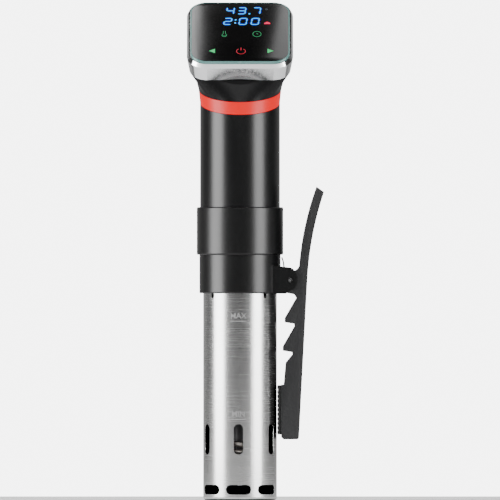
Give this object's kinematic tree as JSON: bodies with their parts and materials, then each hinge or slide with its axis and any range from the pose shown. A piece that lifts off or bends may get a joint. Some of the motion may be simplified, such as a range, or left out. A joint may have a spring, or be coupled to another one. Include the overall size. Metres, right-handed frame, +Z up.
{
  "type": "sous vide circulator",
  "caption": "Slim immersion circulator: steel water skirt, black upper tube, lit ring, square tilted touch head and a sprung side clip that grips a pot wall.",
  "frame": {"origin": "on the tube's axis, in the flat bottom face of the steel skirt", "axes": "+Z up along the tube, -Y towards the user and the display, +X towards the pot clip"},
  "size_m": [0.1084, 0.0753, 0.394],
  "materials": {
    "brushed_steel": "horizontally brushed stainless steel",
    "chrome_bezel": "bright polished chrome plating",
    "gloss_black": "piano-black moulded plastic",
    "satin_black": "black moulded plastic with a satin polish",
    "touch_glass": "black-backed touch glass",
    "adhesive": "black foam adhesive",
    "light_ring": "translucent red-lit acrylic",
    "board_green": "solder-masked circuit board",
    "display_black": "display module face",
    "zinc_screw": "zinc-plated steel",
    "pin_steel": "turned stainless steel",
    "heater_sheath": "heat-tinted steel sheath",
    "motor_can": "zinc-plated motor can",
    "magnet": "sintered ferrite",
    "rotor_iron": "laminated iron",
    "bearing_steel": "ground bearing steel",
    "impeller_plastic": "black glass-filled plastic",
    "core_plastic": "dark heat-resistant plastic",
    "seal_rubber": "black silicone rubber",
    "pad_rubber": "ribbed black rubber",
    "bush_bronze": "sintered bronze",
    "component_blue": "moulded component body",
    "transformer_core": "taped transformer",
    "sink_aluminium": "extruded aluminium",
    "fuse_glass": "ceramic fuse tube",
    "spring_steel": "bright spring wire",
    "gland_plastic": "black nylon"
  },
  "bodies": {
    "housing": {"bulkhead": "core_plastic", "skirt_o_ring": "seal_rubber", "bulkhead_o_ring": "seal_rubber", "shaft_seal": "seal_rubber", "heater_coil": "heater_sheath", "temperature_probe": "pin_steel", "level_sensor_pins": "pin_steel", "shaft_tube": "pin_steel", "lower_bush": "bush_bronze", "motor_bracket": "motor_can", "bracket_screws": "zinc_screw", "motor_end_cap": "core_plastic", "motor_can": "motor_can", "motor_bearings": "bearing_steel", "motor_magnets": "magnet", "upper_housing": "gloss_black", "collar_band": "satin_black", "clip_sleeve": "satin_black", "sleeve_screws": "zinc_screw", "housing_screws": "zinc_screw", "power_board": "board_green", "transformer": "transformer_core", "filter_capacitor": "component_blue", "heater_relay": "component_blue", "mains_fuse": "fuse_glass", "heat_sink": "sink_aluminium", "status_light_ring": "light_ring", "light_ring_board": "board_green", "head_shell": "gloss_black", "bezel_screws": "zinc_screw", "head_bezel": "chrome_bezel", "touch_glass": "touch_glass", "glass_adhesive": "adhesive", "control_board": "board_green", "display_module": "display_black", "buzzer": "impeller_plastic", "cord_gland": "gland_plastic", "gland_nut": "gland_plastic", "hinge_pin": "pin_steel", "pin_clip": "pin_steel", "clip_spring": "spring_steel"},
    "skirt_shell": {"skirt": "brushed_steel"},
    "rotor": {"rotor_core": "rotor_iron", "motor_shaft": "pin_steel", "cooling_fan": "impeller_plastic", "shaft_coupling": "impeller_plastic", "drive_shaft": "pin_steel", "impeller": "impeller_plastic", "impeller_nut": "pin_steel"},
    "clip": {"clip_lever": "satin_black", "clip_pad": "pad_rubber"}
  },
  "joints": [
    {"name": "clip_hinge", "type": "hinge", "parent": "housing", "child": "clip", "pos_m": [0.0396, 0, 0.1743], "axis": [0, -1, 0], "range_deg": [0, 19], "stiffness_Nm_per_rad": 1.5, "springref_deg": -17.19},
    {"name": "skirt_slide", "type": "slide", "parent": "housing", "child": "skirt_shell", "axis": [0, 0, -1], "range_m": [0, 0.17]},
    {"name": "impeller_spin", "type": "hinge", "parent": "housing", "child": "rotor", "pos_m": [0, 0, 0.1], "axis": [0, 0, 1], "continuous": true}
  ]
}
